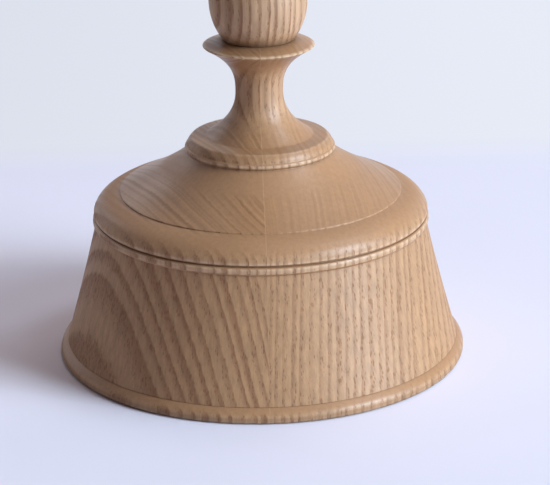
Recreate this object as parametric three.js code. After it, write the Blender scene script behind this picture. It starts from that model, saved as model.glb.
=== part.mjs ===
// A turned ash candle stand, in millimetres, +Z up.
// The origin is on the turning axis, in the plane that the rim of the foot rests on.
// The foot is turned from two boards glued along the plane x = 0. The front of the stand faces -Y.

import * as THREE from 'three';
import { mergeGeometries, mergeVertices } from 'three/addons/utils/BufferGeometryUtils.js';

// Drum of the foot
const footDiameter = 100;
const rimHeight = 3.6;
const rimSetback = 0.5;
const rimEdge = 1.1;
const coveWidth = 1.75;
const coveRise = 2.7;
const drumRise = 26.9;
const drumTopDiameter = 80.8;
const drumHollow = 0.2;

// Turned cord at the top of the drum, the quirk above it and the rounded shoulder
const cordHeight = 2.0;
const cordProud = 0.7;
const quirkHeight = 0.35;
const shoulderLip = 0.5;
const shoulderLipProud = 0.4;
const shoulderRise = 5.0;
const shoulderKneeLean = 0.9;
const shoulderKneeRise = 3.75;

// Dome, raised by a fine step above the shoulder
const stepDiameter = 68.6;
const stepRise = 0.3;
const domeRise = 9.85;
const domeHollow = 1.4;

// Plinth under the neck
const plinthDiameter = 35.6;
const plinthCordHeight = 1.4;
const plinthCordProud = 0.45;
const plinthBandHeight = 2.0;
const plinthBandBulge = 0.25;
const plinthTopDiameter = 33;
const plinthTopRise = 0.4;

// Neck, and the collar that ends it
const coveFootDiameter = 26;
const neckDiameter = 11.5;
const neckLowerRise = 11.1;
const neckLowerOpening = 2.4;
const neckUpperRise = 10.85;
const neckUpperOpening = 2.65;
const collarMouthDiameter = 26.4;
const collarDiameter = 27;
const collarEdge = 0.5;
const collarTopRise = 1.25;

// Ball between the two collars
const ballDiameter = 23.6;
const ballHeight = 19.4;
const seatDiameter = 17;

// Baluster stem above the upper collar
const vaseCoveRise = 8;
const vaseCoveDiameter = 18.4;
const vaseFootDiameter = 17;
const vaseBellyDiameter = 21.6;
const vaseBellyRise = 9;
const vaseTaperRise = 33;
const vaseTopDiameter = 11.4;
const stemCordHeight = 1.6;
const stemCordProud = 0.9;
const stemFlareRise = 3.2;
const panSeatDiameter = 17;

// Drip pan
const panDiameter = 44;
const panRise = 2.6;
const panEdge = 1.4;
const panDishDepth = 1.1;
const panDishWall = 2.2;
const panHubRise = 0.5;

// Candle cup and its brass socket liner
const candleDiameter = 22;
const candlePlay = 0.5;
const socketDepth = 21;
const linerWall = 0.6;
const linerFlangeDiameter = 32.6;
const linerFlangeThickness = 0.8;
const cupWall = 2.4;
const cupFloor = 9;
const cupFootDiameter = 15.8;
const cupCordHeight = 1.6;
const cupCordProud = 0.7;
const cupLipHeight = 2.4;
const cupWaist = 0.5;

// Dowels and the baize under the foot
const dowelDiameter = 6;
const dowelDepthInStem = 14;
const dowelDepthInCup = 6.5;
const dowelFlutes = 12;
const dowelFluteDepth = 0.25;
const dowelChamfer = 0.7;
const baizeThickness = 1.2;
const rimLand = 5.6;

// Clearances
const glueGap = 0.1;
const endGap = 0.4;
const baizeGap = 0.3;
const floorGap = 0.3;

// Faces round one turn of each lathe piece, in fours so that the widest points lie on the axes
const footFaces = 48;
const stemFaces = 24;
const cupFaces = 32;

// Radii that several pieces share
const footRadius = footDiameter / 2;
const neckRadius = neckDiameter / 2;
const seatRadius = seatDiameter / 2;
const panSeatRadius = panSeatDiameter / 2;
const dowelRadius = dowelDiameter / 2;
const dowelBoreRadius = dowelRadius + glueGap;
const linerInnerRadius = candleDiameter / 2 + candlePlay;
const linerOuterRadius = linerInnerRadius + linerWall;
const socketBoreRadius = linerOuterRadius + glueGap;

// A turned outline: radius and height, drawn from the axis, round the wood and back to the axis.
class Outline {
  constructor(radius, height) {
    this.points = [new THREE.Vector2(radius, height)];
  }

  get end() {
    return this.points[this.points.length - 1];
  }

  line(radius, height) {
    this.points.push(new THREE.Vector2(radius, height));
    return this;
  }

  // A quarter of an ellipse that leaves the last point upright, or flat, and arrives the other way.
  quarter(leaves, radius, height, steps) {
    const start = this.end.clone();
    for (let i = 1; i <= steps; i++) {
      const angle = (i / steps) * Math.PI / 2;
      const slow = 1 - Math.cos(angle);
      const fast = Math.sin(angle);
      const across = leaves === 'upright' ? slow : fast;
      const along = leaves === 'upright' ? fast : slow;
      this.line(start.x + (radius - start.x) * across, start.y + (height - start.y) * along);
    }
    return this;
  }

  // A flat curve whose middle stands off the straight line by bulge, out from the axis.
  bow(radius, height, bulge, steps) {
    const start = this.end.clone();
    for (let i = 1; i <= steps; i++) {
      const t = i / steps;
      const off = 4 * t * (1 - t) * bulge;
      this.line(THREE.MathUtils.lerp(start.x, radius, t) + off, THREE.MathUtils.lerp(start.y, height, t));
    }
    return this;
  }

  // A curve that leaves the last point towards a knee and arrives from it.
  bend(kneeRadius, kneeHeight, radius, height, steps) {
    const knee = new THREE.Vector2(kneeRadius, kneeHeight);
    const curve = new THREE.QuadraticBezierCurve(this.end, knee, new THREE.Vector2(radius, height));
    for (const point of curve.getPoints(steps).slice(1)) {
      this.line(point.x, point.y);
    }
    return this;
  }

  // A cove from its mouth in to an upright waist. It opens the later and faster, the larger opening is.
  cove(radius, height, opening, steps) {
    const mouth = this.end.clone();
    for (let i = 1; i <= steps; i++) {
      const t = i / steps;
      const open = (1 - t) ** opening;
      this.line(THREE.MathUtils.lerp(radius, mouth.x, open), THREE.MathUtils.lerp(mouth.y, height, t));
    }
    return this;
  }

  // A smooth double curve that leaves and arrives upright.
  ogee(radius, height, steps) {
    const start = this.end.clone();
    for (let i = 1; i <= steps; i++) {
      const t = i / steps;
      const ease = t * t * (3 - 2 * t);
      this.line(THREE.MathUtils.lerp(start.x, radius, ease), THREE.MathUtils.lerp(start.y, height, t));
    }
    return this;
  }

  // A half-round bead that stands proud of the last point and comes back to the same radius.
  bead(height, proud, steps) {
    const start = this.end.clone();
    for (let i = 1; i <= steps; i++) {
      const angle = (i / steps) * Math.PI;
      this.line(start.x + proud * Math.sin(angle), start.y + height * (1 - Math.cos(angle)) / 2);
    }
    return this;
  }

  turn(faces) {
    return new THREE.LatheGeometry(this.points, faces).rotateX(Math.PI / 2);
  }

  // Half of the turning on one side of the plane x = 0, closed by the flat section that is glued.
  turnHalf(faces, side) {
    const start = side > 0 ? 0 : Math.PI;
    const shell = new THREE.LatheGeometry(this.points, faces / 2, start, Math.PI).rotateX(Math.PI / 2);
    const farSide = this.points.slice(1, -1).reverse().map((point) => new THREE.Vector2(-point.x, point.y));
    const section = new THREE.ShapeGeometry(new THREE.Shape([...this.points, ...farSide]));
    section.rotateX(Math.PI / 2).rotateZ(-side * Math.PI / 2);
    const board = mergeGeometries([shell, section]);
    board.deleteAttribute('normal');
    board.deleteAttribute('uv');
    return mergeVertices(board);
  }
}

// The collar's outline from the ball's seat out to its thin edge and down the cove to the neck.
// Heights are measured from the seat, and side is -1 below the ball and 1 above it.
const collarHeight = collarTopRise + collarEdge;
const neckLength = collarHeight + neckUpperRise;
function collarAndCove(outline, seatHeight, side) {
  const mouthRadius = collarMouthDiameter / 2;
  const at = (depth) => seatHeight + side * depth;
  return outline
    .line(seatRadius, at(0))
    .line(mouthRadius, at(collarTopRise))
    .line(collarDiameter / 2, at(collarTopRise + collarEdge / 2))
    .line(mouthRadius, at(collarHeight))
    .cove(neckRadius, at(neckLength), neckUpperOpening, 9);
}

// Heights of the stack, each from the one below
const drumTop = rimHeight + coveRise + drumRise;
const shoulderBase = drumTop + cordHeight + quirkHeight;
const shoulderTop = shoulderBase + shoulderLip + shoulderRise;
const domeTop = shoulderTop + stepRise + domeRise;
const plinthTop = domeTop + plinthCordHeight + plinthBandHeight;
const neckWaist = plinthTop + plinthTopRise + neckLowerRise;
const ballSeat = neckWaist + neckLength;
const stemSeat = ballSeat + ballHeight;
const dowelFoot = ballSeat - dowelDepthInStem;

// The foot is one turning. Each board is the half of it on its own side of the glue line.
function footBoard(side) {
  const rimTopRadius = footRadius - rimSetback;
  const drumTopRadius = drumTopDiameter / 2;
  const lipRadius = drumTopRadius + shoulderLipProud;
  const kneeHeight = shoulderBase + shoulderLip + shoulderKneeRise;
  const stepRadius = stepDiameter / 2;
  const plinthRadius = plinthDiameter / 2;
  const recessRadius = footRadius - rimLand;
  const recessDepth = baizeThickness + baizeGap;
  const outline = new Outline(0, recessDepth)
    .line(recessRadius, recessDepth)
    .line(recessRadius, 0)
    .line(footRadius - rimEdge, 0)
    .quarter('flat', footRadius, rimEdge, 3)
    .line(rimTopRadius, rimHeight)
    .quarter('flat', rimTopRadius - coveWidth, rimHeight + coveRise, 4)
    .bow(drumTopRadius, drumTop, -drumHollow, 4)
    .bead(cordHeight, cordProud, 4)
    .line(drumTopRadius, shoulderBase)
    .line(lipRadius, shoulderBase)
    .line(lipRadius, shoulderBase + shoulderLip)
    .bend(lipRadius - shoulderKneeLean, kneeHeight, stepRadius, shoulderTop, 6)
    .line(stepRadius, shoulderTop + stepRise)
    .bow(plinthRadius, domeTop, -domeHollow, 5)
    .bead(plinthCordHeight, plinthCordProud, 4)
    .bow(plinthTopDiameter / 2, plinthTop, plinthBandBulge, 3)
    .line(coveFootDiameter / 2, plinthTop + plinthTopRise)
    .cove(neckRadius, neckWaist, neckLowerOpening, 9);
  const collar = collarAndCove(new Outline(seatRadius, ballSeat), ballSeat, -1).points;
  collar.reverse();
  for (const point of collar.slice(1, -1)) {
    outline.line(point.x, point.y);
  }
  return outline
    .line(dowelBoreRadius, ballSeat)
    .line(dowelBoreRadius, dowelFoot)
    .line(0, dowelFoot)
    .turnHalf(footFaces, side);
}

// The ball is an upright oval between two flat seats, bored through for the dowel.
function ballKnop() {
  const ballRadius = ballDiameter / 2;
  const seatAngle = Math.acos(seatRadius / ballRadius);
  const ovalHalfHeight = ballHeight / 2 / Math.sin(seatAngle);
  const steps = 12;
  const outline = new Outline(dowelBoreRadius, 0);
  for (let i = 0; i <= steps; i++) {
    const angle = THREE.MathUtils.lerp(-seatAngle, seatAngle, i / steps);
    outline.line(ballRadius * Math.cos(angle), ballHeight / 2 + ovalHalfHeight * Math.sin(angle));
  }
  return outline
    .line(dowelBoreRadius, ballHeight)
    .line(dowelBoreRadius, 0)
    .turn(stemFaces);
}

// Heights of the stem above its own seat on the ball
const vaseFoot = neckLength + vaseCoveRise + stemCordHeight;
const vaseTop = vaseFoot + vaseBellyRise + vaseTaperRise;
const stemHeight = vaseTop + stemCordHeight + stemFlareRise;

function balusterStem() {
  const outline = new Outline(0, dowelDepthInStem).line(dowelBoreRadius, dowelDepthInStem).line(dowelBoreRadius, 0);
  const coveTop = neckLength + vaseCoveRise;
  return collarAndCove(outline, 0, 1)
    .quarter('upright', vaseCoveDiameter / 2, coveTop, 5)
    .bead(stemCordHeight, stemCordProud, 4)
    .line(vaseFootDiameter / 2, vaseFoot)
    .quarter('flat', vaseBellyDiameter / 2, vaseFoot + vaseBellyRise, 5)
    .ogee(vaseTopDiameter / 2, vaseTop, 9)
    .bead(stemCordHeight, stemCordProud, 4)
    .quarter('upright', panSeatRadius, stemHeight, 4)
    .line(dowelBoreRadius, stemHeight)
    .line(dowelBoreRadius, stemHeight - dowelDepthInStem)
    .line(0, stemHeight - dowelDepthInStem)
    .turn(stemFaces);
}

// The pan's top is dished between its edge and the hub that the cup stands on.
const panTop = panRise + panEdge;
const panHub = panTop - panDishDepth + panHubRise;

function dripPan() {
  const radius = panDiameter / 2;
  const edge = panEdge / 2;
  const dish = panTop - panDishDepth;
  return new Outline(dowelBoreRadius, 0)
    .line(panSeatRadius, 0)
    .quarter('flat', radius - edge / 2, panRise, 6)
    .line(radius, panRise + edge)
    .line(radius - edge / 2, panTop)
    .line(radius - edge - edge / 2, panTop)
    .quarter('upright', radius - edge - panDishWall, dish, 4)
    .line(cupFootDiameter / 2 + panHubRise, dish)
    .line(cupFootDiameter / 2, panHub)
    .line(dowelBoreRadius, panHub)
    .line(dowelBoreRadius, 0)
    .turn(cupFaces);
}

// The cup's wall keeps the same thickness round the liner, whatever the candle.
const cupHeight = cupFloor + floorGap + linerWall + socketDepth - linerFlangeThickness;

function candleCup() {
  const wallRadius = socketBoreRadius + cupWall;
  const cordBase = cupHeight - cupLipHeight - cupCordHeight;
  return new Outline(0, dowelDepthInCup)
    .line(dowelBoreRadius, dowelDepthInCup)
    .line(dowelBoreRadius, 0)
    .line(cupFootDiameter / 2, 0)
    .quarter('flat', wallRadius, cupFloor, 6)
    .bow(wallRadius, cordBase, -cupWaist, 5)
    .bead(cupCordHeight, cupCordProud, 4)
    .line(wallRadius + cupCordProud, cupHeight)
    .line(socketBoreRadius, cupHeight)
    .line(socketBoreRadius, cupFloor)
    .line(0, cupFloor)
    .turn(cupFaces);
}

// The liner is a spun brass cup that hangs in its bore by its flange.
function socketLiner() {
  const height = linerWall + socketDepth;
  const flangeRadius = linerFlangeDiameter / 2;
  const flangeBase = height - linerFlangeThickness;
  const edge = linerFlangeThickness / 2;
  return new Outline(0, 0)
    .line(linerOuterRadius, 0)
    .line(linerOuterRadius, flangeBase)
    .line(flangeRadius - edge / 2, flangeBase)
    .line(flangeRadius, flangeBase + edge)
    .line(flangeRadius - edge / 2, height)
    .line(linerInnerRadius + edge, height)
    .line(linerInnerRadius, height - edge)
    .line(linerInnerRadius, linerWall)
    .line(0, linerWall)
    .turn(cupFaces);
}

// A fluted beech dowel, chamfered at both ends.
function flutedDowel(length) {
  const section = new THREE.Shape();
  const corners = dowelFlutes * 2;
  for (let i = 0; i < corners; i++) {
    const angle = (i / corners) * 2 * Math.PI;
    const radius = dowelRadius - (i % 2) * dowelFluteDepth;
    const x = radius * Math.cos(angle);
    const y = radius * Math.sin(angle);
    if (i === 0) {
      section.moveTo(x, y);
    } else {
      section.lineTo(x, y);
    }
  }
  section.closePath();
  const geometry = new THREE.ExtrudeGeometry(section, {
    depth: length - 2 * dowelChamfer,
    bevelThickness: dowelChamfer,
    bevelSize: dowelChamfer,
    bevelOffset: -dowelChamfer,
    bevelSegments: 1,
    steps: 1,
  });
  return geometry.translate(0, 0, dowelChamfer);
}

function baizePad() {
  const radius = footRadius - rimLand - baizeGap;
  return new Outline(0, 0)
    .line(radius, 0)
    .line(radius, baizeThickness)
    .line(0, baizeThickness)
    .turn(footFaces);
}

function finish(color, roughness, metalness) {
  return new THREE.MeshStandardMaterial({ color, roughness, metalness });
}

const ashLeft = 0x9c7a58;
const ashRight = 0xc79c6e;
const ashStem = 0xb98f66;
const beech = 0xd8b68a;
const brass = 0xc9a24e;
const baizeGreen = 0x2f5a3c;

const candleStand = new THREE.Group();

function place(name, geometry, height, material) {
  const mesh = new THREE.Mesh(geometry, material);
  mesh.name = name;
  mesh.position.z = height;
  candleStand.add(mesh);
}

const panSeat = stemSeat + stemHeight;
const cupSeat = panSeat + panHub;
const linerSeat = cupSeat + cupFloor + floorGap;
const upperDowelFoot = panSeat - dowelDepthInStem;
const lowerDowelLength = 2 * dowelDepthInStem + ballHeight - 2 * endGap;
const upperDowelLength = dowelDepthInStem + panHub + dowelDepthInCup - 2 * endGap;

place('foot_left_board', footBoard(-1), 0, finish(ashLeft, 0.5, 0));
place('foot_right_board', footBoard(1), 0, finish(ashRight, 0.5, 0));
place('ball_knop', ballKnop(), ballSeat, finish(ashStem, 0.5, 0));
place('baluster_stem', balusterStem(), stemSeat, finish(ashStem, 0.5, 0));
place('drip_pan', dripPan(), panSeat, finish(ashRight, 0.5, 0));
place('candle_cup', candleCup(), cupSeat, finish(ashStem, 0.5, 0));
place('candle_socket_liner', socketLiner(), linerSeat, finish(brass, 0.3, 1));
place('lower_dowel', flutedDowel(lowerDowelLength), dowelFoot + endGap, finish(beech, 0.7, 0));
place('upper_dowel', flutedDowel(upperDowelLength), upperDowelFoot + endGap, finish(beech, 0.7, 0));
place('baize_pad', baizePad(), baizeGap, finish(baizeGreen, 1, 0));

export default candleStand;
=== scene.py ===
"""A turned ash candle stand: fine turned pieces, their finishes and a plain studio round them.

Lengths are in metres, +Z up. The origin is on the turning axis, in the plane that the foot's rim
rests on. The foot is turned from two boards glued along the plane x = 0. The front faces -Y.
"""

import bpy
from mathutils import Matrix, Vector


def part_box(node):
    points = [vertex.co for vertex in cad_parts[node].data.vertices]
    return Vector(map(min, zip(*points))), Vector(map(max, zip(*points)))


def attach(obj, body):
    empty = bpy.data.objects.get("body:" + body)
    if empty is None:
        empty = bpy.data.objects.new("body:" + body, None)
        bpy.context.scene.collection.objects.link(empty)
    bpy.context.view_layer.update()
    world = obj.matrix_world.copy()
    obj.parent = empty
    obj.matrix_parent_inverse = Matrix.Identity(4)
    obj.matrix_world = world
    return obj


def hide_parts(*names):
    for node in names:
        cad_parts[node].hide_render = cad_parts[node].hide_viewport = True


bl_info = {
    "name": "Turned candle stand",
    "version": (1, 0, 0),
    "blender": (4, 5, 0),
    "location": "3D View > Sidebar > Candle stand",
    "description": "Turns and finishes the pieces of an ash candle stand and sets up a studio",
    "category": "Add Mesh",
}

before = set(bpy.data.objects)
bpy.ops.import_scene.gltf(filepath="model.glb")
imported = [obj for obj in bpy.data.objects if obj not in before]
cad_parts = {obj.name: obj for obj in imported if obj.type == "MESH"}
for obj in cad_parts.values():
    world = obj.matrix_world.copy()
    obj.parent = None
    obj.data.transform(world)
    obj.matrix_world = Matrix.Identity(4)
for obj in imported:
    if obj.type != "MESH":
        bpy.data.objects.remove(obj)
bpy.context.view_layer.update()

import math

import bmesh
import bpy
from bpy.props import FloatProperty, FloatVectorProperty, IntProperty, PointerProperty
from bpy.types import Operator, Panel, PropertyGroup
from mathutils import Matrix, Vector, noise
from mathutils.geometry import tessellate_polygon

MM = 0.001
FULL_TURN = 2 * math.pi

# Two places closer than this count as one
TOUCH = MM / 1000

# Corners of the boxes that the frame gives
foot_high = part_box("foot_right_board")[1]
ball_low, ball_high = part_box("ball_knop")
stem_low, stem_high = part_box("baluster_stem")
pan_low, pan_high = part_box("drip_pan")
cup_low, cup_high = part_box("candle_cup")
liner_low, liner_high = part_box("candle_socket_liner")
baize_low, baize_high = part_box("baize_pad")


# Properties

def length(name, description, default):
    return FloatProperty(
        name=name, description=description, default=default, min=0.0, unit="LENGTH", precision=5
    )


def lengths(name, description, default):
    return FloatVectorProperty(
        name=name, description=description, default=default, size=2, unit="LENGTH", precision=5
    )


def share(name, description, default):
    return FloatProperty(
        name=name, description=description, default=default, min=0.0, max=1.0, subtype="FACTOR"
    )


def number(name, description, default, least):
    return FloatProperty(name=name, description=description, default=default, min=least)


def whole(name, description, default, least):
    return IntProperty(name=name, description=description, default=default, min=least)


def color(name, description, default):
    return FloatVectorProperty(
        name=name, description=description, default=default, min=0.0, max=1.0, subtype="COLOR"
    )


def angle(name, description, degrees):
    return FloatProperty(
        name=name, description=description, default=math.radians(degrees), subtype="ANGLE"
    )


def watts(name, description, default):
    return FloatProperty(name=name, description=description, default=default, min=0.0, unit="POWER")


class TurningSettings(PropertyGroup):
    """What every turned piece shares."""

    arris: length("Arris", "How far from a corner the sandpaper has rounded it", 0.3 * MM)
    arc_steps: whole("Arc steps", "Steps in each curve of an outline", 18, 2)
    faces: whole("Faces", "Faces round one full turn", 256, 16)
    bore: length("Dowel bore", "Diameter of the bores for the dowels", 6.2 * MM)
    bore_depth: length("Bore depth", "Depth of each dowel bore in the foot and the stem", 14 * MM)


class FootSettings(PropertyGroup):
    """Outline of the foot, from the rim up to the neck."""

    diameter: length("Diameter", "Diameter across the rim", 2 * foot_high.x)
    rim_edge: length("Rim edge", "Radius of the rim's lower edge", 0.8 * MM)
    rim_face: length("Rim face", "Height of the top of the rim's upright face", 1.3 * MM)
    rim_height: length("Rim height", "Height of the rim's upper edge", 3.55 * MM)
    rim_width: length("Rim width", "How far the rim stands out from the drum's wall", 1.75 * MM)
    rim_knee: length("Rim knee", "Height of the knee between the face and the slope", 2.5 * MM)
    rim_line: length("Rim line", "Width and depth of the fine line cut above the rim", 0.1 * MM)
    wall_top: length("Wall top", "Height of the drum's wall", 33.2 * MM)
    drum_top: length("Drum top", "Diameter at the top of the wall", 80.8 * MM)
    drum_hollow: length("Drum hollow", "How far the wall is hollowed", 0.2 * MM)
    cord_height: length("Cord height", "Height of the cord round the drum's top", 2.0 * MM)
    cord_proud: length("Cord proud", "How far the cord stands out", 0.7 * MM)
    quirk_height: length("Quirk height", "Height of the quirk above the cord", 0.35 * MM)
    quirk_depth: length("Quirk depth", "How far the quirk is cut in behind the cord", 0.12 * MM)
    lip_height: length("Lip height", "Height of the shoulder's lip", 0.9 * MM)
    lip_proud: length("Lip proud", "How far the shoulder's lip stands out", 0.4 * MM)
    shoulder_rise: length("Shoulder rise", "Height of the rounded shoulder", 4.6 * MM)
    knee_lean: length("Knee lean", "How far the shoulder leans in at its knee", 0.9 * MM)
    knee_rise: length("Knee rise", "Height of the shoulder's knee above its lip", 3.35 * MM)
    step: length("Step diameter", "Diameter of the fine step round the dome", 68.6 * MM)
    step_rise: length("Step rise", "Height of the fine step", 0.3 * MM)
    dome_rise: length("Dome rise", "Height of the dome", 9.85 * MM)
    dome_hollow: length("Dome hollow", "How far the dome is hollowed", 1.4 * MM)
    plinth: length("Plinth diameter", "Diameter of the plinth under the neck", 35.6 * MM)
    plinth_cord_height: length("Plinth cord height", "Height of the plinth's cord", 1.4 * MM)
    plinth_cord_proud: length("Plinth cord proud", "How far that cord stands out", 0.45 * MM)
    plinth_band_height: length("Plinth band height", "Height of the band above the cord", 2.0 * MM)
    plinth_band_bulge: length("Plinth band bulge", "How far the band swells", 0.25 * MM)
    plinth_top: length("Plinth top", "Diameter of the plinth's upper edge", 33 * MM)
    plinth_top_rise: length("Plinth top rise", "Slope of the plinth's top", 0.4 * MM)
    cove_foot: length("Neck foot", "Diameter where the neck springs from the plinth", 26 * MM)
    neck_rise: length("Neck rise", "Height from the plinth to the neck's waist", 11.1 * MM)
    neck_opening: number("Neck opening", "How late and fast the neck opens out", 2.4, 1.0)
    land: length("Land", "Width of the ring that the foot rests on", 5.6 * MM)


class CollarSettings(PropertyGroup):
    """The thin collar and the neck behind it, which the foot and the stem share."""

    diameter: length("Collar diameter", "Diameter of the collar's thin edge", 27 * MM)
    mouth: length("Collar mouth", "Diameter where the neck's cove meets the edge", 26.4 * MM)
    edge: length("Collar edge", "Thickness of the collar's edge", 0.5 * MM)
    face_rise: length("Face rise", "Slope of the face between the ball and the edge", 1.25 * MM)
    neck: length("Neck diameter", "Diameter of the neck's waist", 11.5 * MM)
    neck_rise: length("Neck rise", "Height from the collar to the waist", 10.85 * MM)
    opening: number("Opening", "How late and fast the neck opens to the collar", 2.65, 1.0)
    seat: length("Seat diameter", "Diameter of the seats that the ball is held between", 17 * MM)


class StemSettings(PropertyGroup):
    """Outline of the baluster above its collar."""

    cove: length("Cove diameter", "Diameter at the top of the cove", 18.4 * MM)
    cove_rise: length("Cove rise", "Height of the cove above the waist", 8 * MM)
    cord_height: length("Cord height", "Height of each cord", 1.6 * MM)
    cord_proud: length("Cord proud", "How far each cord stands out", 0.9 * MM)
    vase_foot: length("Vase foot", "Diameter of the vase at its foot", 17 * MM)
    belly: length("Belly", "Largest diameter of the vase", 21.6 * MM)
    belly_rise: length("Belly rise", "Height of the belly above the vase's foot", 9 * MM)
    taper_rise: length("Taper rise", "Height of the taper above the belly", 33 * MM)
    vase_top: length("Vase top", "Diameter at the top of the taper", 11.4 * MM)
    pan_seat: length("Pan seat", "Diameter of the seat under the pan", 17 * MM)


class PanSettings(PropertyGroup):
    """Outline of the drip pan."""

    diameter: length("Diameter", "Diameter of the pan", 2 * pan_high.x)
    rise: length("Rise", "Height of the pan's underside at its edge", 2.6 * MM)
    edge: length("Edge", "Thickness of the pan's edge", 1.4 * MM)
    dish_depth: length("Dish depth", "Depth of the dish", 1.1 * MM)
    dish_wall: length("Dish wall", "Width of the dish's wall", 2.2 * MM)
    hub_rise: length("Hub rise", "Height of the hub under the cup", 0.5 * MM)


class CupSettings(PropertyGroup):
    """Outline of the candle cup."""

    foot: length("Foot diameter", "Diameter of the cup's foot", 15.8 * MM)
    floor: length("Floor", "Thickness of wood under the socket", 9 * MM)
    wall: length("Wall", "Thickness of wood round the socket", 2.4 * MM)
    waist: length("Waist", "How far the cup draws in at its middle", 0.5 * MM)
    cord_height: length("Cord height", "Height of the cup's cord", 1.6 * MM)
    cord_proud: length("Cord proud", "How far the cup's cord and lip stand out", 0.7 * MM)
    lip_height: length("Lip height", "Height of the cup's lip", 2.4 * MM)
    bore_depth: length("Bore depth", "Depth of the dowel bore in the cup", 6.5 * MM)
    play: length("Liner play", "Clearance round the brass liner", 0.1 * MM)


class LinerSettings(PropertyGroup):
    """Outline of the spun brass liner."""

    candle: length("Candle", "Diameter of the candle that fits", 22 * MM)
    play: length("Candle play", "Clearance round the candle", 0.5 * MM)
    wall: length("Wall", "Thickness of the brass", 0.6 * MM)
    flange: length("Flange thickness", "Thickness of the flange that rests on the cup", 0.8 * MM)


class DowelSettings(PropertyGroup):
    """The fluted dowels that join the stack."""

    diameter: length("Diameter", "Diameter over the flutes", 6 * MM)
    flutes: whole("Flutes", "Number of flutes", 12, 3)
    flute_depth: length("Flute depth", "Depth of each flute", 0.25 * MM)
    chamfer: length("Chamfer", "Chamfer at both ends", 0.7 * MM)


class BaizeSettings(PropertyGroup):
    """The baize let into the foot's underside."""

    nap: length("Nap", "How far the nap stands out of true", 0.07 * MM)
    edge: length("Cut edge", "Radius of the cut edge", 0.35 * MM)
    rings: whole("Rings", "Rings of faces from the middle to the edge", 44, 4)
    faces: whole("Faces", "Faces round the edge", 180, 16)
    wool: color("Wool", "Colour of the wool", (0.028, 0.098, 0.047))
    worn_wool: color("Worn wool", "Colour of the wool where it is rubbed", (0.06, 0.15, 0.082))


def growth_rings(pith, ring, width, early, contrast, paleness, end_contrast, fast_growth):
    """The annotations of a group that sets the growth rings in one piece of wood."""
    paler = "How much paler the wood is near the turning axis"
    end_rings = "How much of the rings shows in the bands of open end grain"
    faster = "Radius beyond which each year is more than twice as wide"
    return {
        "pith": lengths("Pith", "Where the tree's heart lay, seen from above", pith),
        "first_ring": length("First ring", "Radius of one ring", ring),
        "ring_width": length("Ring width", "Wood added in one year", width),
        "early": share("Early wood", "Share of each ring that is early wood", early),
        "contrast": share("Contrast", "How dark the early wood is", contrast),
        "paleness": share("Paleness", paler, paleness),
        "end_contrast": share("End contrast", end_rings, end_contrast),
        "fast_growth": length("Fast growth", faster, fast_growth),
    }


class LeftBoardGrain(PropertyGroup):
    """Growth rings of the foot's left board."""

    __annotations__ = growth_rings(
        pith=(98 * MM, 43 * MM),
        ring=132.0 * MM,
        width=1.74 * MM,
        early=0.8,
        contrast=0.92,
        paleness=0.2,
        end_contrast=0.65,
        fast_growth=149.6 * MM,
    )


class RightBoardGrain(PropertyGroup):
    """Growth rings of the foot's right board."""

    __annotations__ = growth_rings(
        pith=(-74 * MM, -35 * MM),
        ring=76.2 * MM,
        width=1.95 * MM,
        early=0.8,
        contrast=0.58,
        paleness=0.4,
        end_contrast=0.3,
        fast_growth=150 * MM,
    )


class StemGrain(PropertyGroup):
    """Growth rings of the blank that the ball, stem, pan and cup are turned from."""

    __annotations__ = growth_rings(
        pith=(84 * MM, 16 * MM),
        ring=80.4 * MM,
        width=1.9 * MM,
        early=0.75,
        contrast=0.9,
        paleness=0.9,
        end_contrast=0.3,
        fast_growth=150 * MM,
    )


class AshSettings(PropertyGroup):
    """Colours and texture of the oiled ash."""

    late_wood: color("Late wood", "Colour of the dense wood of late summer", (0.388, 0.212, 0.101))
    early_wood: color("Early wood", "Colour of the open wood of spring", (0.225, 0.097, 0.039))
    end_wood: color("End grain", "Colour of the wood cut across its fibres", (0.364, 0.189, 0.091))
    # This colour is blended in near the turning axis, by as much as each grain's paleness
    pale_wood: color("Pale wood", "Colour of the dense wood near the axis", (0.48, 0.29, 0.165))
    pore: color("Pores", "Colour inside the open pores", (0.17, 0.068, 0.026))
    # A painted highlight: the pale colour given to arrises and beads
    sanded: color("Highlit edge", "Colour of arrises that lighting keeps pale", (0.58, 0.385, 0.24))
    glue_line: color("Glue line", "Colour of the glue line", (0.52, 0.31, 0.16))
    drift: length("Ring drift", "How far the rings wander from true circles", 0.8 * MM)
    plinth_band: lengths(
        "Plinth band", "Radii between which the plinth's end grain is open", (9.5 * MM, 18 * MM)
    )
    dome_band: lengths(
        "Dome band", "Radii between which the dome's end grain is open", (24 * MM, 35 * MM)
    )
    streaks: share("Streaks", "How much fine streaks brighten and darken the wood", 0.34)
    fibres: share("Fibres", "How much single fibres brighten and darken the wood", 0.17)
    pore_spacing: length("Pore spacing", "Distance between neighbouring pores", 0.38 * MM)
    pore_length: length("Pore length", "Length of a pore along the grain", 1.5 * MM)
    relief: length("Relief", "Depth of the open pores", 0.03 * MM)
    # How far the painted shade reaches out of the crevices
    shade_reach: length("Shade reach", "How far dirt has spread out of the crevices", 5 * MM)
    glue_width: length("Glue line width", "Width of the glue line on each board", 0.13 * MM)


class MetalSettings(PropertyGroup):
    """Colours of the brass liner."""

    brass: color("Brass", "Colour of the clean brass", (0.80, 0.58, 0.25))
    tarnish: color("Tarnish", "Colour of the tarnished brass", (0.48, 0.31, 0.13))


class DowelGrain(PropertyGroup):
    """Colours of the beech dowels."""

    beech: color("Beech", "Colour of the beech", (0.66, 0.46, 0.29))
    fleck: color("Fleck", "Colour of the flecks", (0.40, 0.24, 0.13))


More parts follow.
